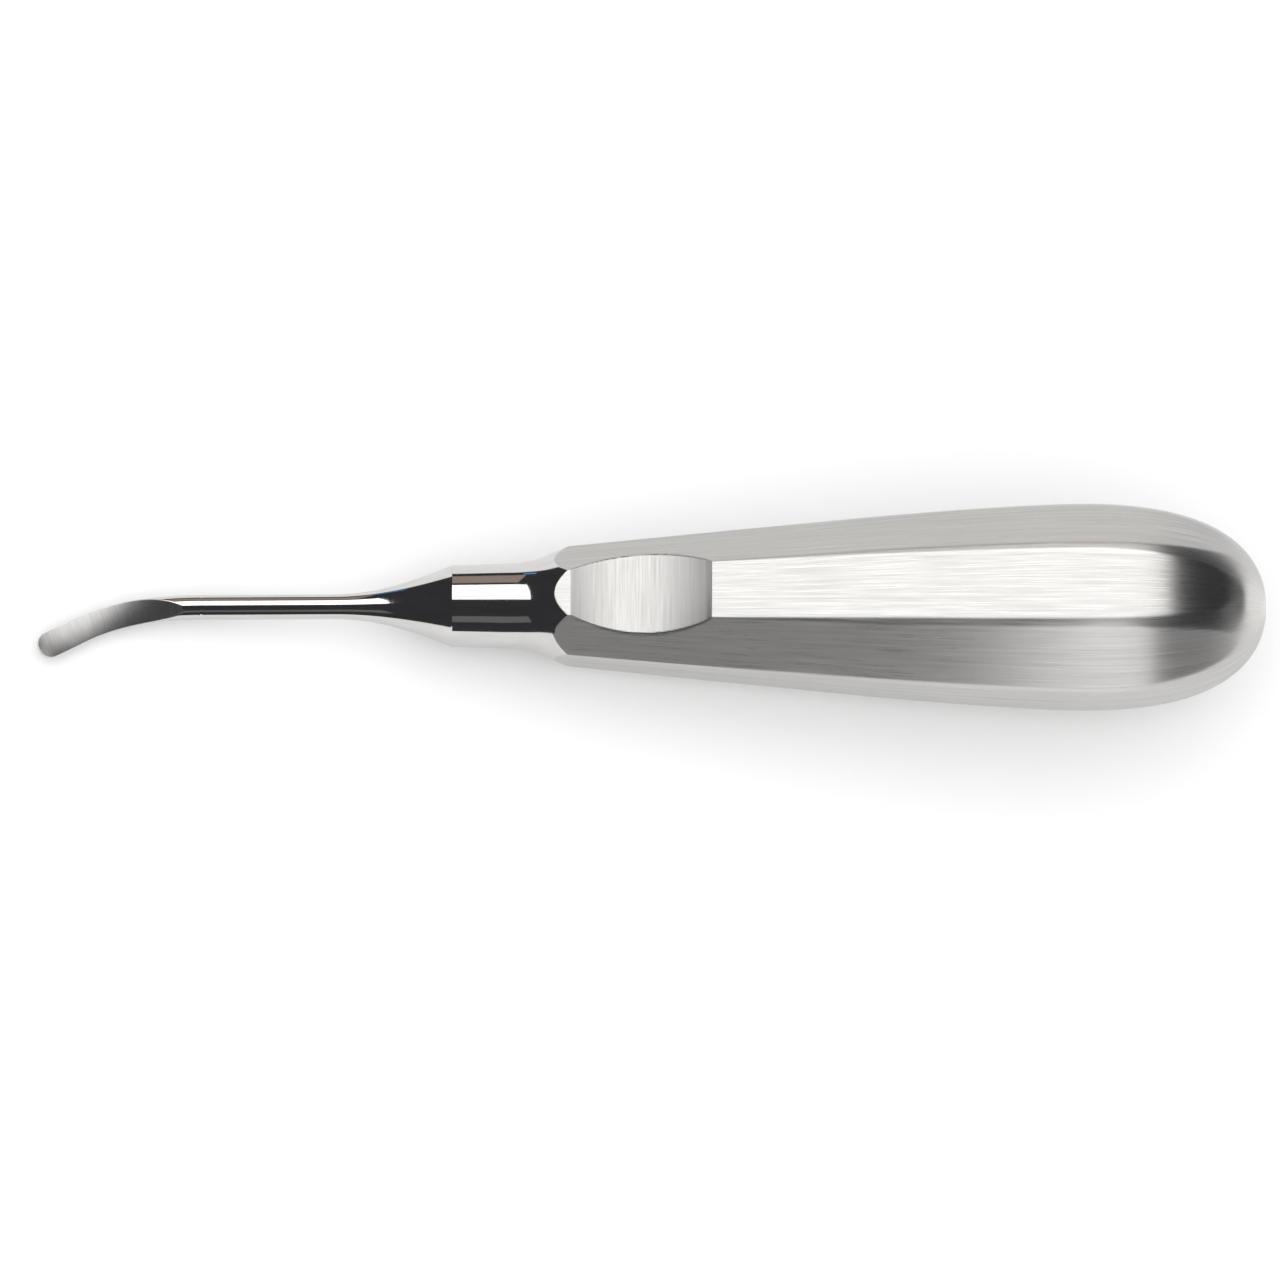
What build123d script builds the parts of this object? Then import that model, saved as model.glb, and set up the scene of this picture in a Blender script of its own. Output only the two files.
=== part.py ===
from build123d import *
from math import atan, cos, degrees, radians, sin, sqrt
import os

# A dental elevator: a curved 3 mm blade, a turned neck and a hollow eight-sided steel handle.
#
# The pieces are drawn lying along the handle's axis: x runs from the blade's tip (0) to the butt (150),
# z points out of the thumb rest's facet, and y completes the frame. At the end every piece is turned by
# the same small angle, so that the flat stretch of the underside facet lies on the ground plane, and is
# moved so that the origin is at the bottom centre of the whole instrument. Lengths are millimetres and
# angles are degrees. A curve's handles are the points that pull it, as (x, y, z) or (x, radius).

# Stations along the axis.
tip_centre_x = 1.6
bend_start_x = 20.0
cone_start_x = 36.0
shoulder_x = 50.7
flare_start_x = 57.4
mouth_x = 64.8
flat_end_x = 101.0
belly_x = 128.3
butt_x = 150.0

# Working end: bar, bend, tip and cone.
bar_radius = 1.51
tip_radius = 1.58
shoulder_radius = 5.02
shank_set = 0.4
tip_centre_y = -4.85
tip_centre_z = 0.9
bend_end = (5.2, -3.02, 0.62)
bend_root_handle = (13.0, 0.0, 0.0)
bend_tip_handle = (8.8, -1.2, 0.34)
cone_root_handle = (41.8, bar_radius)
cone_shoulder_handle = (46.0, 3.19)
shoulder_overrun = 0.5

# The wheel that grinds the blade's face. Its rim is hollow, so the face keeps a low crown.
wheel_radius = 27.0
wheel_rim_radius = 18.0
wheel_half_width = 8.0
wheel_bottom = (7.5, -1.0, 0.38)
wheel_direction = 25.0
wheel_tilt = 3.6

# Tang, held in the neck by a braze ring and in the handle's mouth by a bush and a pin.
tang_radius = 2.6
tang_end_x = 83.0
tang_chamfer = 0.5
braze_radius = 3.3
braze_length = 0.8
pin_radius = 1.0
pin_length = 8.4
pin_x = 77.0

# Neck ferrule. It is ground a hair below the shells, so the instrument lies on its handle alone.
neck_inset = 0.03
neck_rear_radius = 5.22
flare_foot_handle = (60.5, 5.32)
flare_mouth_handle = (61.8, 6.08)
flare_mouth_radius = 7.43
flare_slope = 0.46
flare_overrun = 0.6
spigot_radius = 4.5
spigot_end_x = 69.0

# Handle. The apothem is the distance from the axis to the middle of a facet.
facets = 8
half_facet = radians(180 / facets)
mouth_apothem = 6.846
facet_slope = 0.0943
flat_end_apothem = mouth_apothem + facet_slope * (flat_end_x - mouth_x)
belly_apothem = 11.92
facet_rise_length = 7.0
facet_belly_handle_x = 121.5
facet_butt_handle = (142.8, 7.75)
facet_run_out = 0.5

# The turned outline that softens the corners between the facets.
front_edge_rounding = 0.99
edge_rounding = 0.985
corner_mouth_handle = (77.0, 8.66)
corner_flat_handle = (90.0, 9.91)
corner_rise = 0.65
corner_belly_handle_x = 121.0
corner_butt_handle = (142.6, 7.8)

# Hollow handle: two pressed halves, welded along the sides.
wall = 1.2
cavity_start_x = 86.0
weld_width = 0.7
weld_depth = 0.6

# Thumb rest, ground across the handle: a wide round with a tighter wall at its back end.
rest_radius = 22.2
rest_centre_x = 71.9
rest_centre_z = 28.0
rest_start_angle = 40.0
rest_turn_angle = 26.0
rest_wall_radius = 2.5
rest_wall_angle = 60.0
rest_wall_lean = 1.0

# Overlap of cutting tools and half the size of blocks that reach past the whole instrument.
overlap = 1.0
reach = 30.0


def half_plane_face(edges, left_x, right_x):
    """The closed area between the axis and a run of edges drawn above it."""
    first = (edges[0] @ 0).Y
    last = (edges[-1] @ 1).Y
    lines = [Line((left_x, 0), (left_x, first))]
    lines += edges
    if last > 0:
        lines.append(Line((right_x, last), (right_x, 0)))
    lines.append(Line((right_x, 0), (left_x, 0)))
    return make_face(lines)


def turned(edges, left_x, right_x):
    """A solid of revolution about the handle's axis."""
    return revolve(half_plane_face(edges, left_x, right_x), Axis.X)


def rod(radius, start_x, end_x):
    """A plain cylinder along the axis."""
    middle = (start_x + end_x) / 2
    return Pos(middle, 0, 0) * Rot(0, 90, 0) * Cylinder(radius, end_x - start_x)


def cross_rod(radius, length):
    """A plain cylinder across the handle, at the pin's station."""
    return Pos(pin_x, 0, 0) * Rot(90, 0, 0) * Cylinder(radius, length)


def behind(x):
    """A block that holds everything behind a station."""
    return Pos(x + butt_x / 2, 0, 0) * Box(butt_x, 2 * reach, 2 * reach)


def facet_edges(inset):
    """The middle line of one facet: straight from the neck, full at the belly, round at the butt."""
    flat_end = flat_end_apothem - inset
    belly = belly_apothem - inset
    front_x = shoulder_x - 2 * overlap
    front = flat_end - facet_slope * (flat_end_x - front_x)
    rise_handle = (flat_end_x + facet_rise_length, flat_end + facet_rise_length * facet_slope)
    butt_handle_x, butt_handle = facet_butt_handle
    end_x = butt_x + facet_run_out - inset
    return [
        Line((front_x, front), (flat_end_x, flat_end)),
        Bezier((flat_end_x, flat_end), rise_handle, (facet_belly_handle_x, belly), (belly_x, belly)),
        Bezier((belly_x, belly), (butt_handle_x, belly), (end_x, butt_handle - inset), (end_x, 0)),
    ]


def turned_edges(inset):
    """The turned outline that ends the facets: neck, flare, softened corners and domed butt."""
    flat_end = flat_end_apothem * front_edge_rounding / cos(half_facet) - inset
    belly = belly_apothem * edge_rounding / cos(half_facet) - inset
    flare_end_x = mouth_x + flare_overrun
    flare_end = (flare_end_x, flare_mouth_radius + flare_overrun * flare_slope - inset)
    flare_foot = (flare_start_x, neck_rear_radius - inset)
    handles = [flare_foot_handle, flare_mouth_handle, corner_mouth_handle, corner_flat_handle]
    foot, mouth, corner, flat = [(x, radius - inset) for x, radius in handles]
    rise_handle = (flat_end_x + facet_rise_length, flat_end + corner_rise)
    butt_handle_x, butt_handle = corner_butt_handle
    end_x = butt_x - inset
    return [
        Line((shoulder_x, shoulder_radius - inset), flare_foot),
        Bezier(flare_foot, foot, mouth, flare_end),
        Bezier(flare_end, corner, flat, (flat_end_x, flat_end)),
        Bezier((flat_end_x, flat_end), rise_handle, (corner_belly_handle_x, belly), (belly_x, belly)),
        Bezier((belly_x, belly), (butt_handle_x, belly), (end_x, butt_handle - inset), (end_x, 0)),
    ]


def handle_body(inset=0.0):
    """Neck and handle as one closed shape, or the same shape drawn in by an inset."""
    end_x = butt_x + facet_run_out - inset
    upper = half_plane_face(facet_edges(inset), shoulder_x - 2 * overlap, end_x)
    profile = upper + mirror(upper, about=Plane.XZ)
    slab = extrude(Rot(90, 0, 0) * profile, amount=reach, both=True)
    body = turned(turned_edges(inset), shoulder_x, butt_x - inset)
    for index in range(facets // 2):
        body = body & slab.rotate(Axis.X, index * 360 / facets)
    return body


def thumb_rest():
    """The tool that cuts the thumb rest."""
    start = radians(rest_start_angle)
    turn = radians(rest_turn_angle)
    wall_end = radians(rest_wall_angle)
    start_x = rest_centre_x - rest_radius * sin(start)
    start_z = rest_centre_z - rest_radius * cos(start)
    bend = (rest_centre_x + rest_radius * sin(turn), rest_centre_z - rest_radius * cos(turn))
    wall_x = bend[0] + rest_wall_radius * (sin(wall_end) - sin(turn))
    wall_z = bend[1] + rest_wall_radius * (cos(turn) - cos(wall_end))
    outline = [
        RadiusArc((start_x, start_z), bend, -rest_radius),
        RadiusArc(bend, (wall_x, wall_z), -rest_wall_radius),
        Line((wall_x, wall_z), (wall_x + rest_wall_lean, reach)),
        Line((wall_x + rest_wall_lean, reach), (start_x, reach)),
        Line((start_x, reach), (start_x, start_z)),
    ]
    return extrude(Rot(90, 0, 0) * make_face(outline), amount=reach, both=True)


def grinding_wheel():
    """The wheel that grinds the blade's face, standing on the lowest point of the cut."""
    rim_sag = wheel_rim_radius - sqrt(wheel_rim_radius**2 - wheel_half_width**2)
    left = (-wheel_half_width, wheel_radius + rim_sag)
    right = (wheel_half_width, wheel_radius + rim_sag)
    rim = ThreePointArc(left, (0, wheel_radius), right)
    wheel = revolve(half_plane_face([rim], -wheel_half_width, wheel_half_width), Axis.X)
    heading = Rot(0, 0, wheel_direction) * Rot(wheel_tilt, 0, 0)
    return Pos(*wheel_bottom) * heading * Pos(0, 0, wheel_radius) * Rot(0, 0, 90) * wheel


def working_end():
    """Blade, shank, cone and tang, forged in one piece."""
    tip_centre = (tip_centre_x, tip_centre_y, tip_centre_z)
    root = (bend_start_x, 0, 0)
    bend = Bezier(root, bend_root_handle, bend_tip_handle, bend_end)
    straight = Line(bend_end, tip_centre)
    section = Plane(root, z_dir=(-1, 0, 0)) * Circle(bar_radius)
    blade = sweep(section, path=bend)
    widening = [
        Plane(bend_end, z_dir=straight % 0) * Circle(bar_radius),
        Plane(tip_centre, z_dir=straight % 0) * Circle(tip_radius),
    ]
    blade += loft(widening)
    blade += Pos(*tip_centre) * Sphere(tip_radius)
    shoulder = (shoulder_x, shoulder_radius)
    shoulder_end = shoulder_x + shoulder_overrun
    cone_edges = [
        Line((bend_start_x, bar_radius), (cone_start_x, bar_radius)),
        Bezier((cone_start_x, bar_radius), cone_root_handle, cone_shoulder_handle, shoulder),
        Line(shoulder, (shoulder_end, shoulder_radius)),
    ]
    cone = turned(cone_edges, bend_start_x, shoulder_end)
    set_over = Pos(shoulder_x, 0, 0) * Rot(0, 0, shank_set) * Pos(-shoulder_x, 0, 0)
    front = set_over * (blade + cone - grinding_wheel()) - behind(shoulder_x)
    tang = rod(tang_radius, shoulder_x, tang_end_x)
    tang = chamfer(tang.edges().sort_by(Axis.X)[-1], tang_chamfer)
    return front + tang - pin_hole()


def pin_hole():
    """The hole for the cross pin, through tang and bush."""
    return cross_rod(pin_radius, 2 * (spigot_radius + overlap))


def neck_ferrule():
    """Turned neck with a flare, bored for the tang, and a spigot that enters the handle."""
    ferrule = handle_body(neck_inset) - behind(mouth_x) + rod(spigot_radius, mouth_x, spigot_end_x)
    ferrule -= rod(tang_radius, shoulder_x - overlap, spigot_end_x + overlap)
    return ferrule - rod(braze_radius, shoulder_x - overlap, shoulder_x + braze_length)


def braze_ring():
    """Filler metal between the shoulder, the tang and the ferrule."""
    filler = rod(braze_radius, shoulder_x, shoulder_x + braze_length)
    return filler - rod(tang_radius, shoulder_x - overlap, mouth_x)


def tang_bush():
    """Bush that fills the handle's mouth around the tang."""
    bush = rod(spigot_radius, spigot_end_x, cavity_start_x)
    return bush - rod(tang_radius, spigot_end_x - overlap, tang_end_x) - pin_hole()


def seam_weld(body):
    """Weld along both sides of the handle and round the butt, ground flush with the facets."""
    band = Pos(mouth_x + butt_x / 2, 0, 0) * Box(butt_x, 2 * reach, weld_width)
    return (body - handle_body(weld_depth)) & band


def handle_shells(body, weld):
    """The two pressed halves of the handle, split through the side facets."""
    solid = body & behind(mouth_x)
    solid -= rod(spigot_radius, mouth_x - overlap, cavity_start_x)
    solid -= handle_body(wall) & behind(cavity_start_x)
    solid -= weld
    solid -= thumb_rest()
    upper = Pos(butt_x, 0, reach / 2) * Box(2 * butt_x, 2 * reach, reach)
    return solid & upper, solid - upper


def instrument():
    """All the pieces along the handle's axis, by name."""
    body = handle_body()
    weld = seam_weld(body)
    thumb_half, under_half = handle_shells(body, weld)
    return {
        "working_end": working_end(),
        "neck_ferrule": neck_ferrule(),
        "braze_ring": braze_ring(),
        "tang_bush": tang_bush(),
        "cross_pin": cross_rod(pin_radius, pin_length),
        "handle_shell_thumb_side": thumb_half,
        "handle_shell_underside": under_half,
        "handle_seam_weld": weld,
    }


def lay_down(pieces):
    """Turns every piece onto the flat of the underside and centres the whole over the origin."""
    lean = Rot(0, -degrees(atan(facet_slope)), 0)
    leaning = {name: lean * piece for name, piece in pieces.items()}
    box = Compound(children=[Compound(piece.solids()) for piece in leaning.values()]).bounding_box()
    shift = Pos(-(box.min.X + box.max.X) / 2, -(box.min.Y + box.max.Y) / 2, -box.min.Z)
    return {name: shift * piece for name, piece in leaning.items()}


os.makedirs("parts", exist_ok=True)
for name, piece in lay_down(instrument()).items():
    export_step(piece, f"parts/{name}.step")
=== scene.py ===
"""Looks of the dental elevator: detailed steel meshes round the CAD frame, a pale floor and soft light."""

import math

import bmesh
import bpy
import numpy as np
from mathutils import Matrix, Vector


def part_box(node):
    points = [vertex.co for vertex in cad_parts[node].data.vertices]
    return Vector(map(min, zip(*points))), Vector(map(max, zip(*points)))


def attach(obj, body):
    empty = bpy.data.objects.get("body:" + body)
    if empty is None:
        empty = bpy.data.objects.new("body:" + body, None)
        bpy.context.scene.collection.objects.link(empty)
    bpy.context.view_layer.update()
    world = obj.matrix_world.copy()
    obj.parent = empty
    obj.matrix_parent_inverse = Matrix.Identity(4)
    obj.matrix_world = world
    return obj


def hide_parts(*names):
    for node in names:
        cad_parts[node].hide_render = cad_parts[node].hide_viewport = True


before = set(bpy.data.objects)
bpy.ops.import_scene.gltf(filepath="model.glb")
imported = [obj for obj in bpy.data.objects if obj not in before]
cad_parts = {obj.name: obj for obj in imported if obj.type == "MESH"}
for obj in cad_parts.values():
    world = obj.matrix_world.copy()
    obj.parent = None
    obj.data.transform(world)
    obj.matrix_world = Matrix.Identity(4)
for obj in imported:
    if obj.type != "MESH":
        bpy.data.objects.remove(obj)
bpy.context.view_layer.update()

# The meshes are worked out in millimetres in the handle's own frame: s runs along its axis from the
# blade's tip to the butt, z out of the thumb rest, y across. The frame's pin and braze ring are centred
# on that axis and say where it lies.
MM = 0.001
PIN_S = 77.0

# Stations along the axis.
BEND_START_S = 20.0
CONE_S = 36.0
SHOULDER_S = 50.7
FLARE_S = 57.4
MOUTH_S = 64.8
SPIGOT_END_S = 69.0
TANG_END_S = 83.0
CAVITY_S = 86.0
FLAT_END_S = 101.0
BELLY_S = 128.3
BUTT_S = 150.0

# Working end: bar, bend, tip and cone. A curve's handles are the points that pull it, as (s, y, z) or
# (s, radius).
BAR_R = 1.51
TIP_R = 1.58
SHOULDER_R = 5.02
SHANK_SET = math.radians(0.4)
TIP_CENTRE = (1.6, -4.85, 0.9)
BEND_END = (5.2, -3.02, 0.62)
BEND_TIP_HANDLE = (8.8, -1.2, 0.34)
BEND_ROOT_HANDLE = (13.0, 0.0, 0.0)
CONE_ROOT_HANDLE = (41.8, BAR_R)
CONE_SHOULDER_HANDLE = (46.0, 3.19)

# The wheel that grinds the blade's face. Its rim is hollow, so the face keeps a low crown.
WHEEL_R = 27.0
WHEEL_RIM_R = 18.0
WHEEL_HALF_WIDTH = 8.0
WHEEL_BOTTOM = (7.5, -1.0, 0.38)
WHEEL_DIRECTION = math.radians(25)
WHEEL_TILT = math.radians(3.6)

# The ground look goes to what lies on the wheel's rim, ahead of a station and above a height.
FACE_END_S = 21.0
FACE_TOLERANCE = 0.012
FACE_LOWEST_Z = -0.4

# Tang and neck. The neck is ground a hair below the handle.
TANG_R = 2.6
TANG_CHAMFER = 0.5
BRAZE_R = 3.3
BRAZE_LENGTH = 0.8
SPIGOT_R = 4.5
SPIGOT_CHAMFER = 0.3
NECK_INSET = 0.03
NECK_REAR_R = 5.22
FLARE_FOOT_HANDLE = (60.5, 5.32)
FLARE_MOUTH_HANDLE = (61.8, 6.08)
FLARE_MOUTH_R = 7.43
FLARE_SLOPE = 0.46
FLARE_OVERRUN = 0.6

# Handle. The apothem is the distance from the axis to the middle of a facet.
FACETS = 8
HALF_FACET = math.pi / FACETS
MOUTH_APOTHEM = 6.846
FACET_SLOPE = 0.0943
FLAT_END_APOTHEM = MOUTH_APOTHEM + FACET_SLOPE * (FLAT_END_S - MOUTH_S)
BELLY_APOTHEM = 11.92
RISE_LENGTH = 7.0
FACET_RUN_IN = 2.0
FACET_RUN_OUT = 0.5
FACET_BELLY_HANDLE_S = 121.5
FACET_BUTT_HANDLE = (142.8, 7.75)

# The turned outline that softens the corners between the facets.
FRONT_EDGE_ROUNDING = 0.99
EDGE_ROUNDING = 0.985
CORNER_MOUTH_HANDLE = (77.0, 8.66)
CORNER_FLAT_HANDLE = (90.0, 9.91)
CORNER_RISE = 0.65
CORNER_BELLY_HANDLE_S = 121.0
CORNER_BUTT_HANDLE = (142.6, 7.8)

# Shell wall and the weld along the sides.
WALL = 1.2
WELD_HALF = 0.35
WELD_DEPTH = 0.6

# Thumb rest, ground across the handle: a wide round with a tighter wall at its back end.
REST_R = 22.2
REST_CENTRE = (71.9, 28.0)
REST_START = math.radians(-40)
REST_TURN = math.radians(26)
REST_WALL_R = 2.5
REST_WALL_END = math.radians(60)
REST_WALL_LEAN = 1.0
REST_WALL_TOP = 30.0
REST_MARGIN = 2.0

# Easing of the edges between ground faces, and of those between facets: at the mouth, and what it gains
# over a length behind the mouth.
EDGE_EASE = 0.06
FACET_EASE = 0.05
FACET_EASE_GAIN = 0.12
FACET_EASE_LENGTH = 60.0

# Rows of the meshes: their spacing along the axis, and their number where the steel is bent or rounded.
FINE_STEP = 0.14
FLARE_STEP = 0.11
NECK_STEP = 0.4
BAR_STEP = 0.5
BAR_GAP = 0.3
TANG_STEP = 0.1
HANDLE_STEP = 0.6
DOME_S = 140.0
DOME_ROWS = 46
TIP_ROWS = 25
STRAIGHT_ROWS = 39
BEND_ROWS = 160

# Columns round a section: on the blade's face and back, on a facet, along a shell's outside, and inside it.
FACE_COLUMNS = 72
BACK_COLUMNS = 140
FACET_COLUMNS = 44
SHELL_COLUMNS = (16, 44, 48, 44, 16)
INNER_COLUMNS = 73
WELD_COLUMNS = 5

# Points on a profile's curves, on its rounds at the butt, and on the two parts of the thumb rest.
PROFILE_POINTS = 60
ROUND_POINTS = 300
REST_POINTS = 120
REST_WALL_POINTS = 24

# The search for the steel's surface halves its reach again and again. In the blade it starts a little
# below the bar's centre. Trial angles find the edges of the ground face. Half of it is never narrower
# than an angle, and it isn't looked for where the rounding of the tip is thinner than a radius.
HALVINGS = 34
REACH = 20.0
BLADE_REACH = 8.0
BLADE_DROP = 0.45
TRIAL_ANGLES = 721
SMALLEST_HALF_FACE = 0.16
SMALLEST_GROUND_R = 0.2

# Margins that tell the neck's skin from its bore and from its face at the handle's mouth.
SKIN_MARGIN = 0.3
MOUTH_MARGIN = 0.01

# Points closer than the merge distance, in metres, are one. Brush strokes are laid out at a mean radius.
MERGE_DISTANCE = 2e-7
SHARP_ANGLE = math.radians(38)
BRUSH_R = 10.0


def centre_of(node):
    low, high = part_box(node)
    return (low + high) / 2


axis_point = centre_of("cross_pin")
axis_direction = (axis_point - centre_of("braze_ring")).normalized()
lean = math.atan2(axis_direction.z, axis_direction.x)


def to_row(points):
    """Millimetres in the handle's frame to metres in the row's frame."""
    points = np.asarray(points, float)
    s, y, z = points[..., 0] - PIN_S, points[..., 1], points[..., 2]
    x_row = s * math.cos(lean) - z * math.sin(lean)
    z_row = s * math.sin(lean) + z * math.cos(lean)
    return np.stack([x_row, y, z_row], -1) * MM + np.array(axis_point)


def to_handle(points):
    """Metres in the row's frame to millimetres in the handle's frame."""
    x, y, z = ((np.asarray(points, float) - np.array(axis_point)) / MM).T
    s = x * math.cos(lean) + z * math.sin(lean) + PIN_S
    return np.stack([s, y, z * math.cos(lean) - x * math.sin(lean)], -1)


# Materials. Nearly all of a noise's values lie between its low and its high.

NOISE_DETAIL = 2.0
NOISE_ROUGHNESS = 0.6
NOISE_LOW = 0.3
NOISE_HIGH = 0.7


def new_material(name, colour, roughness, anisotropy=0.0, spread_turn=0.0):
    """Steel. Brushing spreads the reflections along the piece, or across it at a quarter turn."""
    material = bpy.data.materials.new(name)
    material.use_nodes = True
    shader = material.node_tree.nodes["Principled BSDF"]
    shader.inputs["Base Color"].default_value = (*colour, 1)
    shader.inputs["Metallic"].default_value = 1.0
    shader.inputs["Roughness"].default_value = roughness
    shader.inputs["Anisotropic"].default_value = anisotropy
    shader.inputs["Anisotropic Rotation"].default_value = spread_turn
    if anisotropy:
        tangent = material.node_tree.nodes.new("ShaderNodeTangent")
        tangent.direction_type = "UV_MAP"
        tangent.uv_map = "grain"
        material.node_tree.links.new(tangent.outputs["Tangent"], shader.inputs["Tangent"])
    return material, shader


def node(material, kind, **settings):
    """A shader node. Each setting is the value of an input or of a property."""
    made = material.node_tree.nodes.new(kind)
    for key, value in settings.items():
        if key in made.inputs:
            made.inputs[key].default_value = value
        else:
            setattr(made, key, value)
    return made


def link(material, source, output, target, socket):
    material.node_tree.links.new(source.outputs[output], target.inputs[socket])


def streak_noise(material, heading, tilt, along, across):
    """Noise drawn out into streaks, pointed by the angles. along and across are sizes in millimetres."""
    place = node(material, "ShaderNodeTexCoord")
    turn = node(material, "ShaderNodeMapping", vector_type="TEXTURE", Rotation=(0.0, -tilt, heading))
    sizes = (1 / (along * MM), 1 / (across * MM), 1 / (across * MM))
    stretch = node(material, "ShaderNodeMapping", Scale=sizes)
    noise = node(material, "ShaderNodeTexNoise", Scale=1.0, Detail=NOISE_DETAIL, Roughness=NOISE_ROUGHNESS)
    link(material, place, "Object", turn, "Vector")
    link(material, turn, "Vector", stretch, "Vector")
    link(material, stretch, "Vector", noise, "Vector")
    return noise


def brush_noise(material, along, across):
    """Noise drawn out along the handle, in strokes that follow its facets. Sizes are in millimetres."""
    place = node(material, "ShaderNodeUVMap", uv_map="brush")
    stretch = node(material, "ShaderNodeMapping", Scale=(1 / along, 1 / across, 1.0))
    noise = node(material, "ShaderNodeTexNoise", noise_dimensions="2D",
                 Scale=1.0, Detail=NOISE_DETAIL, Roughness=NOISE_ROUGHNESS)
    link(material, place, "UV", stretch, "Vector")
    link(material, stretch, "Vector", noise, "Vector")
    return noise


def span(material, source, low, high):
    """A noise's value brought to a range."""
    mapped = node(material, "ShaderNodeMapRange")
    mapped.inputs["From Min"].default_value = NOISE_LOW
    mapped.inputs["From Max"].default_value = NOISE_HIGH
    mapped.inputs["To Min"].default_value = low
    mapped.inputs["To Max"].default_value = high
    link(material, source, "Fac", mapped, "Value")
    return mapped


def tint(material, shader, source, dark, light):
    """Colour between two tones by a noise."""
    ramp = node(material, "ShaderNodeValToRGB")
    ramp.color_ramp.elements[0].position = NOISE_LOW
    ramp.color_ramp.elements[0].color = (*dark, 1)
    ramp.color_ramp.elements[1].position = NOISE_HIGH
    ramp.color_ramp.elements[1].color = (*light, 1)
    link(material, source, "Fac", ramp, "Fac")
    link(material, ramp, "Color", shader, "Base Color")


def relief(material, shader, layers):
    """Fine relief from noises, each with its height in millimetres."""
    before = None
    for source, height in layers:
        bump = node(material, "ShaderNodeBump", Strength=1.0, Distance=height * MM)
        link(material, source, "Fac", bump, "Height")
        if before:
            link(material, before, "Normal", bump, "Normal")
        before = bump
    link(material, before, "Normal", shader, "Normal")


def worn_steel(name, dark, light, rough, grain, marks, grain_height, mark_height, spread=(0.0, 0.0)):
    """Steel with a fine grain and fewer, longer marks; rough is the range of its roughness.

    Grain and marks are (heading, tilt, along, across), or (along, across) for strokes down the handle.
    """
    material, shader = new_material(name, light, rough[0], *spread)
    streaks = streak_noise if len(grain) == 4 else brush_noise
    fine = streaks(material, *grain)
    long = streaks(material, *marks)
    tint(material, shader, long, dark, light)
    link(material, span(material, fine, *rough), "Result", shader, "Roughness")
    relief(material, shader, [(long, mark_height), (fine, grain_height)])
    return material


BLADE_HEADING = math.radians(20)
ACROSS = math.radians(90)

POLISHED = worn_steel(
    "polished_steel", (0.56, 0.55, 0.535), (0.62, 0.61, 0.595), (0.05, 0.1),
    grain=(ACROSS, 0.0, 3.0, 0.16), marks=(0.0, lean, 6.0, 1.1), grain_height=0.00002, mark_height=0.002,
)
GROUND = worn_steel(
    "ground_blade_face", (0.45, 0.444, 0.433), (0.56, 0.55, 0.537), (0.32, 0.42),
    grain=(ACROSS + BLADE_HEADING, 0.0, 2.5, 0.06), marks=(ACROSS + BLADE_HEADING, 0.0, 5.0, 0.22),
    grain_height=0.0006, mark_height=0.0008, spread=(0.6, 0.0),
)
BRUSHED = worn_steel(
    "brushed_along_handle", (0.565, 0.557, 0.54), (0.64, 0.63, 0.612), (0.27, 0.37),
    grain=(9.0, 0.12), marks=(30.0, 0.32), grain_height=0.0004, mark_height=0.0006,
    spread=(0.85, 0.25),
)
RESTED = worn_steel(
    "brushed_across_rest", (0.565, 0.557, 0.54), (0.64, 0.63, 0.612), (0.34, 0.46),
    grain=(ACROSS, 0.0, 6.0, 0.07), marks=(ACROSS, 0.0, 12.0, 0.26), grain_height=0.0005, mark_height=0.0008,
    spread=(0.85, 0.0),
)
WELD = worn_steel(
    "weld_ground_flush", (0.55, 0.542, 0.526), (0.63, 0.62, 0.602), (0.32, 0.44),
    grain=(6.0, 0.12), marks=(16.0, 0.3), grain_height=0.0006, mark_height=0.0008,
    spread=(0.85, 0.25),
)
TURNED_STEEL = worn_steel(
    "turned_steel", (0.44, 0.44, 0.44), (0.54, 0.54, 0.54), (0.28, 0.4),
    grain=(ACROSS, 0.0, 8.0, 0.1), marks=(ACROSS, 0.0, 12.0, 0.4), grain_height=0.002, mark_height=0.002,
)
BRAZE = worn_steel(
    "silver_braze", (0.66, 0.6, 0.47), (0.78, 0.72, 0.58), (0.35, 0.5),
    grain=(0.0, 0.0, 0.3, 0.3), marks=(0.0, 0.0, 1.2, 1.2), grain_height=0.004, mark_height=0.01,
)


# Profiles, each as points (s, distance from the axis). An inset draws the whole shape in.

def bezier(points, count=PROFILE_POINTS):
    p = np.array(points, float)
    t = np.linspace(0, 1, count)[:, None]
    return (1 - t) ** 3 * p[0] + 3 * (1 - t) ** 2 * t * p[1] + 3 * (1 - t) * t ** 2 * p[2] + t ** 3 * p[3]


def chain(*runs):
    return np.concatenate([np.array(run, float) for run in runs])


def read(profile, s):
    return np.interp(s, profile[:, 0], profile[:, 1])


def station_of(profile, radius):
    """Where the butt end of a profile comes down to a radius."""
    dome = profile[profile[:, 0] > BELLY_S][::-1]
    return np.interp(radius, dome[:, 1], dome[:, 0])


def drawn_in(handle, inset):
    """A curve's handle, moved towards the axis."""
    return handle[0], handle[1] - inset


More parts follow.
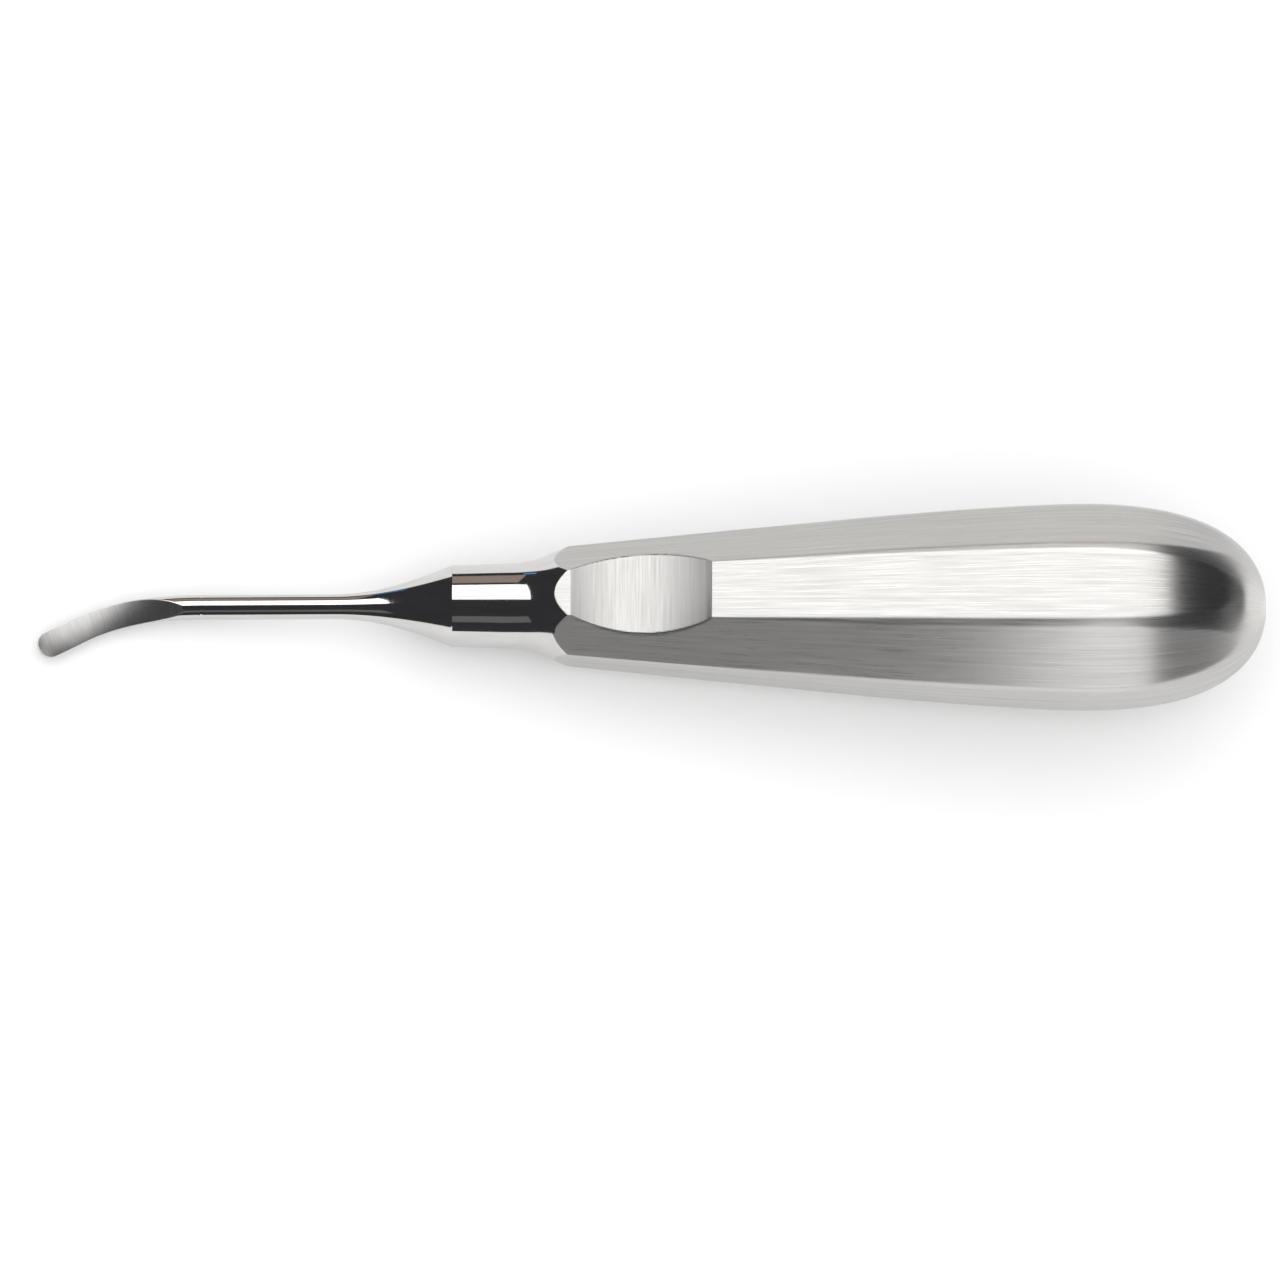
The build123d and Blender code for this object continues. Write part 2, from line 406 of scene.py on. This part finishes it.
def facet_profile(inset=0.0):
    """Distance from the axis to the middle of a facet."""
    flat_end = (FLAT_END_S, FLAT_END_APOTHEM - inset)
    belly = (BELLY_S, BELLY_APOTHEM - inset)
    start_s = SHOULDER_S - FACET_RUN_IN
    start = (start_s, flat_end[1] - FACET_SLOPE * (FLAT_END_S - start_s))
    rise_handle = (FLAT_END_S + RISE_LENGTH, flat_end[1] + RISE_LENGTH * FACET_SLOPE)
    butt_handle_s, butt_handle = FACET_BUTT_HANDLE
    end_s = BUTT_S + FACET_RUN_OUT - inset
    return chain(
        [start, flat_end],
        bezier([flat_end, rise_handle, (FACET_BELLY_HANDLE_S, belly[1]), belly]),
        bezier([belly, (butt_handle_s, belly[1]), (end_s, butt_handle - inset), (end_s, 0)], ROUND_POINTS),
    )


def turned_profile(inset=0.0):
    """Radius that the facets are turned down to: neck, flare, softened corners and domed butt."""
    flat_end = (FLAT_END_S, FLAT_END_APOTHEM * FRONT_EDGE_ROUNDING / math.cos(HALF_FACET) - inset)
    belly = (BELLY_S, BELLY_APOTHEM * EDGE_ROUNDING / math.cos(HALF_FACET) - inset)
    flare_foot = (FLARE_S, NECK_REAR_R - inset)
    flare_end = (MOUTH_S + FLARE_OVERRUN, FLARE_MOUTH_R + FLARE_OVERRUN * FLARE_SLOPE - inset)
    foot_handle, mouth_handle = drawn_in(FLARE_FOOT_HANDLE, inset), drawn_in(FLARE_MOUTH_HANDLE, inset)
    corner_handle, flat_handle = drawn_in(CORNER_MOUTH_HANDLE, inset), drawn_in(CORNER_FLAT_HANDLE, inset)
    rise_handle = (FLAT_END_S + RISE_LENGTH, flat_end[1] + CORNER_RISE)
    butt_handle_s, butt_handle = CORNER_BUTT_HANDLE
    end_s = BUTT_S - inset
    return chain(
        [(SHOULDER_S, SHOULDER_R - inset), flare_foot],
        bezier([flare_foot, foot_handle, mouth_handle, flare_end]),
        bezier([flare_end, corner_handle, flat_handle, flat_end]),
        bezier([flat_end, rise_handle, (CORNER_BELLY_HANDLE_S, belly[1]), belly]),
        bezier([belly, (butt_handle_s, belly[1]), (end_s, butt_handle - inset), (end_s, 0)], ROUND_POINTS),
    )


def rest_profile():
    """Height of the thumb rest's ground surface along the handle."""
    sweep = np.linspace(REST_START, REST_TURN, REST_POINTS)
    wide = np.stack([REST_CENTRE[0] + REST_R * np.sin(sweep), REST_CENTRE[1] - REST_R * np.cos(sweep)], 1)
    turn = np.linspace(REST_TURN, REST_WALL_END, REST_WALL_POINTS)[1:]
    wall_s = wide[-1, 0] + REST_WALL_R * (np.sin(turn) - math.sin(REST_TURN))
    wall_z = wide[-1, 1] + REST_WALL_R * (math.cos(REST_TURN) - np.cos(turn))
    return chain(wide, np.stack([wall_s, wall_z], 1), [(wall_s[-1] + REST_WALL_LEAN, REST_WALL_TOP)])


def cone_profile():
    """Radius of the bar from the bend to the shoulder."""
    foot, shoulder = (CONE_S, BAR_R), (SHOULDER_S, SHOULDER_R)
    cone = bezier([foot, CONE_ROOT_HANDLE, CONE_SHOULDER_HANDLE, shoulder])
    return chain([(BEND_START_S, BAR_R)], cone)


FACET = facet_profile()
TURNED = turned_profile()
REST = rest_profile()
CONE = cone_profile()


# Surfaces, as fields that are negative inside the steel and positive outside.

def smooth_max(a, b, k):
    """The larger of two fields, with the edge between them eased over k."""
    ease = np.maximum(k - np.abs(a - b), 0) / k
    return np.maximum(a, b) + ease * ease * k / 4


def facet_field(s, y, z, facet=FACET):
    corner = FACET_EASE + FACET_EASE_GAIN * np.clip((s - MOUTH_S) / FACET_EASE_LENGTH, 0, 1)
    across, up = np.abs(y), np.abs(z)
    field = smooth_max(up, (up + across) / math.sqrt(2), corner)
    return smooth_max(field, across, corner) - read(facet, s)


def turned_field(s, y, z, turned=TURNED):
    return np.hypot(y, z) - read(turned, s)


def body_field(s, y, z):
    """Neck and handle without the thumb rest."""
    return smooth_max(facet_field(s, y, z), turned_field(s, y, z), EDGE_EASE)


def thumb_side_field(s, y, z):
    """The same with the thumb rest ground in."""
    return smooth_max(body_field(s, y, z), z - read(REST, s), EDGE_EASE)


def inset_field(inset):
    facet, turned = facet_profile(inset), turned_profile(inset)
    return lambda s, y, z: np.maximum(facet_field(s, y, z, facet), turned_field(s, y, z, turned))


def cast(field, base, direction, reach=REACH):
    """The points where rays from inside the steel leave it."""
    inside = np.zeros(base.shape[:-1])
    outside = np.full_like(inside, reach)
    for _ in range(HALVINGS):
        middle = (inside + outside) / 2
        point = base + middle[..., None] * direction
        out = field(point[..., 0], point[..., 1], point[..., 2]) > 0
        outside = np.where(out, middle, outside)
        inside = np.where(out, inside, middle)
    return base + inside[..., None] * direction


# Mesh building.

def eased(count):
    """Fractions from 0 to 1, closer together at both ends."""
    return (1 - np.cos(np.linspace(0, math.pi, count + 1))) / 2


def grid_faces(rows, columns, closed_rows=False, closed_columns=False):
    row = np.arange(rows if closed_rows else rows - 1)
    column = np.arange(columns if closed_columns else columns - 1)
    i, j = np.meshgrid(row, column, indexing="ij")
    next_i, next_j = (i + 1) % rows, (j + 1) % columns
    corners = [i * columns + j, next_i * columns + j, next_i * columns + next_j, i * columns + next_j]
    return np.stack(corners, -1).reshape(-1, 4)


def seam_corner(faces, columns):
    """For each corner of each face, whether the face closes the round from the last column to the first."""
    closing = [any(point % columns == columns - 1 for point in face) and len(face) == 4 for face in faces]
    return np.repeat(closing, [len(face) for face in faces])


def make_piece(name, grid, faces, node, materials, pick=None):
    """A closed mesh that stands for a CAD node: rows along it, columns round it.

    The grain map gives the direction of the grain. The brush map lays millimetres along the handle and
    round it, for strokes that follow the facets. pick gives a material's index for a face's centre.
    """
    mesh = bpy.data.meshes.new(name)
    mesh.from_pydata(to_row(grid.reshape(-1, 3)).tolist(), [], faces)
    rows, columns = grid.shape[:2]
    corners = np.empty(len(mesh.loops), np.int32)
    mesh.loops.foreach_get("vertex_index", corners)
    around = corners % columns / columns
    around = np.where((around == 0) & seam_corner(faces, columns), 1.0, around)
    along = corners // columns / rows
    grain_map = mesh.uv_layers.new(name="grain")
    grain_map.data.foreach_set("uv", np.stack([along, around], -1).astype(np.float32).ravel())
    s, y, z = grid.reshape(-1, 3).T
    brush = np.stack([s, BRUSH_R * np.arctan2(y, np.abs(z))], -1)[corners]
    brush_map = mesh.uv_layers.new(name="brush")
    brush_map.data.foreach_set("uv", brush.astype(np.float32).ravel())
    work = bmesh.new()
    work.from_mesh(mesh)
    bmesh.ops.remove_doubles(work, verts=work.verts, dist=MERGE_DISTANCE)
    bmesh.ops.dissolve_degenerate(work, edges=work.edges, dist=MERGE_DISTANCE / 10)
    bmesh.ops.recalc_face_normals(work, faces=work.faces)
    work.to_mesh(mesh)
    work.free()
    for material in materials:
        mesh.materials.append(material)
    if pick:
        centres = np.empty(len(mesh.polygons) * 3)
        mesh.polygons.foreach_get("center", centres)
        mesh.polygons.foreach_set("material_index", pick(to_handle(centres.reshape(-1, 3))).astype(np.int32))
    mesh.shade_smooth()
    mesh.set_sharp_from_angle(angle=SHARP_ANGLE)
    piece = bpy.data.objects.new(name, mesh)
    bpy.context.scene.collection.objects.link(piece)
    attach(piece, "root")
    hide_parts(node)
    return piece


# Neck ferrule.

def ring(s, radius, angles):
    """One circle of points about the axis."""
    return np.stack([np.full_like(angles, s), radius * np.cos(angles), radius * np.sin(angles)], -1)


def round_angles():
    """Angles round the axis, closer together at the facets' edges."""
    facet = eased(FACET_COLUMNS)[:-1] * 2 * HALF_FACET
    starts = np.arange(FACETS) * 2 * HALF_FACET + HALF_FACET
    return (starts[:, None] + facet).ravel()


def make_ferrule():
    angles = round_angles()
    neck, flare = np.arange(SHOULDER_S, FLARE_S, NECK_STEP), np.arange(FLARE_S, MOUTH_S, FLARE_STEP)
    stations = chain(neck, flare, [MOUTH_S])
    s, angle = np.meshgrid(stations, angles, indexing="ij")
    base = np.stack([s, np.zeros_like(s), np.zeros_like(s)], -1)
    direction = np.stack([np.zeros_like(s), np.cos(angle), np.sin(angle)], -1)
    skin = cast(lambda *p: body_field(*p) + NECK_INSET, base, direction)
    spigot_and_bore = [
        (MOUTH_S, SPIGOT_R),
        (SPIGOT_END_S - SPIGOT_CHAMFER, SPIGOT_R),
        (SPIGOT_END_S, SPIGOT_R - SPIGOT_CHAMFER),
        (SPIGOT_END_S, TANG_R),
        (SHOULDER_S + BRAZE_LENGTH, TANG_R),
        (SHOULDER_S + BRAZE_LENGTH, BRAZE_R),
        (SHOULDER_S, BRAZE_R),
    ]
    rows = np.concatenate([skin, [ring(at, radius, angles) for at, radius in spigot_and_bore]])
    faces = grid_faces(len(rows), len(angles), closed_rows=True, closed_columns=True)

    def pick(p):
        from_axis = np.hypot(p[:, 1], p[:, 2])
        on_skin = (p[:, 0] < MOUTH_S - MOUTH_MARGIN) & (from_axis > SHOULDER_R - SKIN_MARGIN)
        return on_skin & (facet_field(*p.T) > turned_field(*p.T))

    make_piece("ferrule_turned_and_flared", rows, faces.tolist(), "neck_ferrule",
               [POLISHED, BRUSHED], pick)


# Handle shells and the weld between them.

def shell_stations():
    """Stations along the handle, close together at the thumb rest and at the butt."""
    run = chain(np.arange(MOUTH_S, CAVITY_S, FINE_STEP), np.arange(CAVITY_S, DOME_S, HANDLE_STEP))
    dome_start = read(TURNED, run[-1])
    radii = np.linspace(dome_start, WELD_HALF, DOME_ROWS)[1:]
    return chain(run, station_of(TURNED, radii))


STATIONS = shell_stations()


def stretched(end):
    """The same stations, with the round of the butt drawn in to end sooner."""
    behind = np.maximum(STATIONS - BELLY_S, 0)
    return np.minimum(STATIONS, BELLY_S) + behind * (end - BELLY_S) / (STATIONS[-1] - BELLY_S)


def shell_angles(s):
    """Angles from one seam over the top to the other, closer together at the facets' edges."""
    apothem = read(FACET, s)
    side = apothem * math.tan(HALF_FACET)
    knots = [np.zeros_like(s)]
    knots += [np.arctan2(side - WELD_HALF, apothem), np.arctan2(apothem - WELD_HALF, side)]
    knots += [math.pi - knots[2], math.pi - knots[1], np.full_like(s, math.pi)]
    columns = []
    for first, last, count in zip(knots[:-1], knots[1:], SHELL_COLUMNS):
        share = eased(count)[:-1]
        columns.append(first[:, None] + (last - first)[:, None] * share)
    return np.concatenate(columns + [knots[-1][:, None]], 1)


def half_shell(field):
    """One shell as rows of closed cross-sections, drawn for the side above the seam."""
    angle = shell_angles(np.minimum(STATIONS, BELLY_S))
    s = np.repeat(STATIONS[:, None], angle.shape[1], 1)
    base = np.stack([s, np.zeros_like(s), np.full_like(s, WELD_HALF)], -1)
    direction = np.stack([np.zeros_like(s), np.cos(angle), np.sin(angle)], -1)
    skin = cast(field, base, direction)

    step_field = inset_field(WELD_DEPTH)
    steps = []
    for height in (WELD_HALF, 0.0):
        at = stretched(station_of(turned_profile(WELD_DEPTH), height))
        start = np.stack([at, np.zeros_like(at), np.full_like(at, height)], -1)
        steps.append(cast(step_field, start, np.broadcast_to([0.0, 1.0, 0.0], start.shape)))

    around = np.linspace(0, math.pi, INNER_COLUMNS)
    at, turn = np.meshgrid(stretched(BUTT_S - WALL), around, indexing="ij")
    start = np.stack([at, np.zeros_like(at), np.zeros_like(at)], -1)
    outward = np.stack([np.zeros_like(at), np.cos(turn), np.sin(turn)], -1)
    cavity = cast(inset_field(WALL), start, outward)
    bore = start + SPIGOT_R * outward
    inner = np.where((at < CAVITY_S)[..., None], bore, cavity)

    mirror = np.array([1, -1, 1])
    right = np.stack(steps, 1)
    section = np.concatenate([skin, right * mirror, inner[:, ::-1], right[:, ::-1]], 1)
    section[-1, :, 1] = 0
    section[-1, :, 2] = np.where(section[-1, :, 2] > WELD_HALF / 2, WELD_HALF, 0)
    return section


def make_shell(name, node, field, side, materials, pick=None):
    section = half_shell(field) * np.array([1, 1, side])
    rows, columns = section.shape[:2]
    faces = grid_faces(rows, columns, closed_columns=True).tolist()
    faces.append(list(range(columns)))
    make_piece(name, section, faces, node, materials, pick)


def make_weld():
    heights = np.linspace(-WELD_HALF, WELD_HALF, WELD_COLUMNS)
    s, z = np.meshgrid(STATIONS, heights, indexing="ij")
    base = np.stack([s, np.zeros_like(s), z], -1)
    skin = cast(body_field, base, np.broadcast_to([0.0, 1.0, 0.0], base.shape))
    skin[-1, :, 0] = station_of(TURNED, np.abs(heights))
    skin[-1, :, 1] = 0
    at = stretched(station_of(turned_profile(WELD_DEPTH), WELD_HALF))
    start = np.stack([at, np.zeros_like(at), np.full_like(at, WELD_HALF)], -1)
    upper = cast(inset_field(WELD_DEPTH), start, np.broadcast_to([0.0, 1.0, 0.0], start.shape))
    upper[-1, 1] = 0
    lower = upper * np.array([1, 1, -1])
    section = np.concatenate([skin, upper[:, None], lower[:, None]], 1)
    back = section[-2::-1] * np.array([1, -1, 1])
    strip = np.concatenate([section, back])
    rows, columns = strip.shape[:2]
    faces = grid_faces(rows, columns, closed_columns=True).tolist()
    faces += [list(range(columns)), list(range((rows - 1) * columns, rows * columns))]
    make_piece("seam_weld_ground_flush", strip, faces, "handle_seam_weld", [WELD])


# Blade, shank, cone and tang.

def centre_line():
    """Points, directions and radii from the tip to the shoulder; the first rows round off the tip."""
    tip, bend_end = np.array(TIP_CENTRE), np.array(BEND_END)
    to_tip = (tip - bend_end) / np.linalg.norm(tip - bend_end)
    fall = np.linspace(math.pi / 2, 0, TIP_ROWS, endpoint=False)
    cap = tip + TIP_R * np.sin(fall)[:, None] * to_tip
    straight = tip + np.linspace(0, 1, STRAIGHT_ROWS, endpoint=False)[:, None] * (bend_end - tip)
    bend = bezier([BEND_END, BEND_TIP_HANDLE, BEND_ROOT_HANDLE, (BEND_START_S, 0.0, 0.0)], BEND_ROWS)
    shank = np.arange(BEND_START_S + BAR_GAP, CONE_S, BAR_STEP)
    bar_s = chain(shank, np.arange(CONE_S, SHOULDER_S, FINE_STEP), [SHOULDER_S])
    bar = np.stack([bar_s, np.zeros_like(bar_s), np.zeros_like(bar_s)], -1)
    points = np.concatenate([cap, straight, bend, bar])
    radii = np.concatenate([
        TIP_R * np.cos(fall),
        np.linspace(TIP_R, BAR_R, STRAIGHT_ROWS, endpoint=False),
        np.full(len(bend), BAR_R),
        read(CONE, bar_s),
    ])
    directions = np.gradient(np.concatenate([straight, bend, bar]), axis=0)
    directions = np.concatenate([np.repeat(-to_tip[None], len(cap), 0), directions])
    return points, directions / np.linalg.norm(directions, axis=1)[:, None], radii


def wheel_field(s, y, z):
    """Positive inside the wheel that grinds the blade's face."""
    x, across, up = s - WHEEL_BOTTOM[0], y - WHEEL_BOTTOM[1], z - WHEEL_BOTTOM[2]
    along = x * math.cos(WHEEL_DIRECTION) + across * math.sin(WHEEL_DIRECTION)
    level = -x * math.sin(WHEEL_DIRECTION) + across * math.cos(WHEEL_DIRECTION)
    aside = level * math.cos(WHEEL_TILT) + up * math.sin(WHEEL_TILT)
    height = up * math.cos(WHEEL_TILT) - level * math.sin(WHEEL_TILT)
    rim = WHEEL_RIM_R - np.sqrt(np.clip(WHEEL_RIM_R ** 2 - aside ** 2, 0.0, None))
    inside = WHEEL_R + rim - np.hypot(along, height - WHEEL_R)
    return np.minimum(inside, WHEEL_HALF_WIDTH - np.abs(aside))


def set_over(points, turn):
    """The working end stands at a small angle about the shoulder."""
    s, y = points[..., 0] - SHOULDER_S, points[..., 1]
    return np.stack([
        SHOULDER_S + s * math.cos(turn) - y * math.sin(turn),
        s * math.sin(turn) + y * math.cos(turn),
        points[..., 2],
    ], -1)


def spin(across, up, angles):
    """Directions at some angles in the planes of two rows of axes."""
    return across[:, None] * np.cos(angles)[..., None] + up[:, None] * np.sin(angles)[..., None]


def blade_angles(centre, across, up, radius, low):
    """Angles round each ring, with columns that follow the two edges of the ground face."""
    trial = np.broadcast_to(np.linspace(0, math.pi, TRIAL_ANGLES), (len(centre), TRIAL_ANGLES))
    rim = centre[:, None] + radius[:, None, None] * spin(across, up, trial)
    ground = wheel_field(*np.moveaxis(rim, -1, 0)) > 0
    seen = rim - low[:, None]
    turn = np.arctan2((seen * up[:, None]).sum(-1), (seen * across[:, None]).sum(-1))
    cut = ground.any(1) & (radius > SMALLEST_GROUND_R)
    rows = np.arange(len(centre))
    first = np.interp(rows, rows[cut], np.where(ground, turn, np.inf).min(1)[cut])
    last = np.interp(rows, rows[cut], np.where(ground, turn, -np.inf).max(1)[cut])
    middle, half = (first + last) / 2, np.maximum((last - first) / 2, SMALLEST_HALF_FACE)
    first, last = middle - half, middle + half
    face = first[:, None] + (last - first)[:, None] * eased(FACE_COLUMNS)[:-1]
    back = last[:, None] + (first + 2 * math.pi - last)[:, None] * eased(BACK_COLUMNS)[:-1]
    return np.concatenate([face, back], 1)


def make_working_end():
    centre, direction, radius = centre_line()
    across = np.cross([0, 0, 1], direction)
    across /= np.linalg.norm(across, axis=1)[:, None]
    up = np.cross(direction, across)
    low = centre - up * (BLADE_DROP * radius * (centre[:, 0] < BEND_START_S))[:, None]
    outward = spin(across, up, blade_angles(centre, across, up, radius, low))

    def ground_bar(*p):
        bar = np.linalg.norm(np.stack(p, -1) - centre[:, None], axis=-1) - radius[:, None]
        return smooth_max(bar, wheel_field(*p), EDGE_EASE)

    rings = cast(ground_bar, np.broadcast_to(low[:, None], outward.shape), outward, BLADE_REACH)
    rings[0] = rings[0].mean(0)
    rings = set_over(rings, SHANK_SET)
    rings[..., 0] = np.minimum(rings[..., 0], SHOULDER_S)

    tang = [
        (SHOULDER_S, TANG_R),
        (SHOULDER_S + TANG_STEP, TANG_R),
        (TANG_END_S - TANG_CHAMFER, TANG_R),
        (TANG_END_S, TANG_R - TANG_CHAMFER),
        (TANG_END_S, 0.0),
    ]
    turn = np.arctan2(rings[-1, :, 2], rings[-1, :, 1])
    rows = np.concatenate([rings, [ring(at, size, turn) for at, size in tang]])
    faces = grid_faces(len(rows), rows.shape[1], closed_columns=True).tolist()

    def pick(p):
        unturned = set_over(p, -SHANK_SET)
        ahead = unturned[:, 0] < FACE_END_S
        on_face = np.abs(wheel_field(*unturned.T)) < FACE_TOLERANCE
        return ahead & on_face & (unturned[:, 2] > FACE_LOWEST_Z)

    make_piece("blade_shank_and_tang", rows, faces, "working_end",
               [POLISHED, GROUND], pick)


def thumb_pick(p):
    """The thumb rest's ground surface has its own grain."""
    on_rest = p[:, 2] - read(REST, p[:, 0]) > body_field(*p.T)
    near_middle = (np.abs(p[:, 1]) < SPIGOT_R + REST_MARGIN) & (p[:, 2] > SPIGOT_R)
    return on_rest & near_middle & (p[:, 0] < CAVITY_S)


def dress_node(name, material):
    """A CAD node that keeps its mesh and takes a material."""
    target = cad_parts[name]
    target.data.materials.clear()
    target.data.materials.append(material)


make_working_end()
make_ferrule()
make_shell("handle_upper_shell", "handle_shell_thumb_side", thumb_side_field, 1,
           [BRUSHED, RESTED], thumb_pick)
make_shell("handle_lower_shell", "handle_shell_underside", body_field, -1, [BRUSHED])
make_weld()
for inner in ("tang_bush", "cross_pin"):
    dress_node(inner, TURNED_STEEL)
dress_node("braze_ring", BRAZE)


# Floor, light and camera.

FLOOR_SIZE = 24.0
FLOOR_TONE = 0.9
PALE_STRENGTH = 1.3
DIM_STUDIO = (0.045, 0.045, 0.05)
CAMERA_ELEVATION = math.radians(76)
CAMERA_ROLL = math.radians(0.1)
CAMERA_DISTANCE = 3.0
SENSOR = 36.0
CLIP_END = 100.0
VIEW_WIDTH = 0.1562
VIEW_CENTRE_S = 73.6
VIEW_CENTRE_UP = -0.0041


def make_floor():
    half = FLOOR_SIZE / 2
    mesh = bpy.data.meshes.new("floor")
    corners = [(-half, -half, 0), (half, -half, 0), (half, half, 0), (-half, half, 0)]
    mesh.from_pydata(corners, [], [(0, 1, 2, 3)])
    material = bpy.data.materials.new("pale_floor")
    material.use_nodes = True
    shader = material.node_tree.nodes["Principled BSDF"]
    shader.inputs["Base Color"].default_value = (FLOOR_TONE, FLOOR_TONE, FLOOR_TONE, 1)
    shader.inputs["Roughness"].default_value = 0.9
    shader.inputs["Specular IOR Level"].default_value = 0.0
    mesh.materials.append(material)
    floor = bpy.data.objects.new("floor", mesh)
    bpy.context.scene.collection.objects.link(floor)


def make_world():
    """Pale light from all round, and a dim studio where the steel reflects it."""
    world = bpy.data.worlds.new("studio")
    world.use_nodes = True
    nodes, links = world.node_tree.nodes, world.node_tree.links
    nodes.clear()
    pale = nodes.new("ShaderNodeBackground")
    pale.inputs["Color"].default_value = (1.0, 1.0, 1.0, 1)
    pale.inputs["Strength"].default_value = PALE_STRENGTH
    dim = nodes.new("ShaderNodeBackground")
    dim.inputs["Color"].default_value = (*DIM_STUDIO, 1)
    dim.inputs["Strength"].default_value = 1.0
    ray = nodes.new("ShaderNodeLightPath")
    mix = nodes.new("ShaderNodeMixShader")
    out = nodes.new("ShaderNodeOutputWorld")
    links.new(ray.outputs["Is Glossy Ray"], mix.inputs[0])
    links.new(pale.outputs[0], mix.inputs[1])
    links.new(dim.outputs[0], mix.inputs[2])
    links.new(mix.outputs[0], out.inputs["Surface"])
    bpy.context.scene.world = world


def make_area_light(name, corner, along, up, radiance=1.0, colour=(1.0, 1.0, 1.0)):
    """A flat light of a given radiance: a corner and its two sides. It shows in reflections alone."""
    corner, along, up = Vector(corner), Vector(along), Vector(up)
    light = bpy.data.lights.new(name, "AREA")
    light.shape = "RECTANGLE"
    light.size, light.size_y = along.length, up.length
    light.color = colour
    light.energy = radiance * math.pi * along.length * up.length
    holder = bpy.data.objects.new(name, light)
    facing = Matrix([along.normalized(), up.normalized(), along.cross(up).normalized()]).transposed()
    holder.matrix_world = Matrix.Translation(corner + (along + up) / 2) @ facing.to_4x4()
    holder.visible_diffuse = False
    holder.visible_camera = False
    bpy.context.scene.collection.objects.link(holder)


def make_lights():
    """A softbox overhead, a white card before the neck, and dimmer walls and cards round the instrument."""
    make_area_light("softbox", corner=(-0.83, 0.1, 1.2), along=(1.26, 0, 0), up=(0, 1.2, 0), radiance=2.5)
    make_area_light("white_card", corner=(0.015, -0.25, 0.02), along=(0.105, 0, 0), up=(0, 0, 0.48),
                    radiance=1.1)
    make_area_light("warm_wall", corner=(0.5, 1.5, 0.3), along=(-1.0, 0, 0), up=(0, 0, 0.8),
                    colour=(0.36, 0.28, 0.23))
    make_area_light("blue_strip", corner=(-0.4, 1.5, 0.14), along=(-0.35, 0, 0), up=(0, 0, 0.1),
                    colour=(0.12, 0.4, 0.95))
    make_area_light("butt_card", corner=(1.5, -0.6, 0.3), along=(0, 1.2, 0), up=(0, 0, 0.6),
                    colour=(0.14, 0.14, 0.14))
    make_area_light("dim_card", corner=(-1.0, -1.4, 0.8), along=(1.6, 0, 0), up=(0, 0.2, 0.5),
                    colour=(0.14, 0.14, 0.14))


def make_camera():
    """The camera looks square onto the handle's axis."""
    camera = bpy.data.cameras.new("camera")
    camera.sensor_width = SENSOR
    camera.lens = SENSOR * CAMERA_DISTANCE / VIEW_WIDTH
    camera.clip_end = CLIP_END
    right = Vector((math.cos(lean), 0, math.sin(lean)))
    out = Vector((-math.sin(lean), 0, math.cos(lean)))
    back = math.sin(CAMERA_ELEVATION) * out - math.cos(CAMERA_ELEVATION) * Vector((0, 1, 0))
    up = back.cross(right)
    turn = Matrix([right, up, back]).transposed() @ Matrix.Rotation(CAMERA_ROLL, 3, "Z")
    target = axis_point + right * (VIEW_CENTRE_S - PIN_S) * MM + up * VIEW_CENTRE_UP
    holder = bpy.data.objects.new("camera", camera)
    holder.matrix_world = Matrix.Translation(target + back * CAMERA_DISTANCE) @ turn.to_4x4()
    bpy.context.scene.collection.objects.link(holder)
    bpy.context.scene.camera = holder


make_floor()
make_world()
make_lights()
make_camera()
bpy.context.scene.view_settings.view_transform = "Standard"
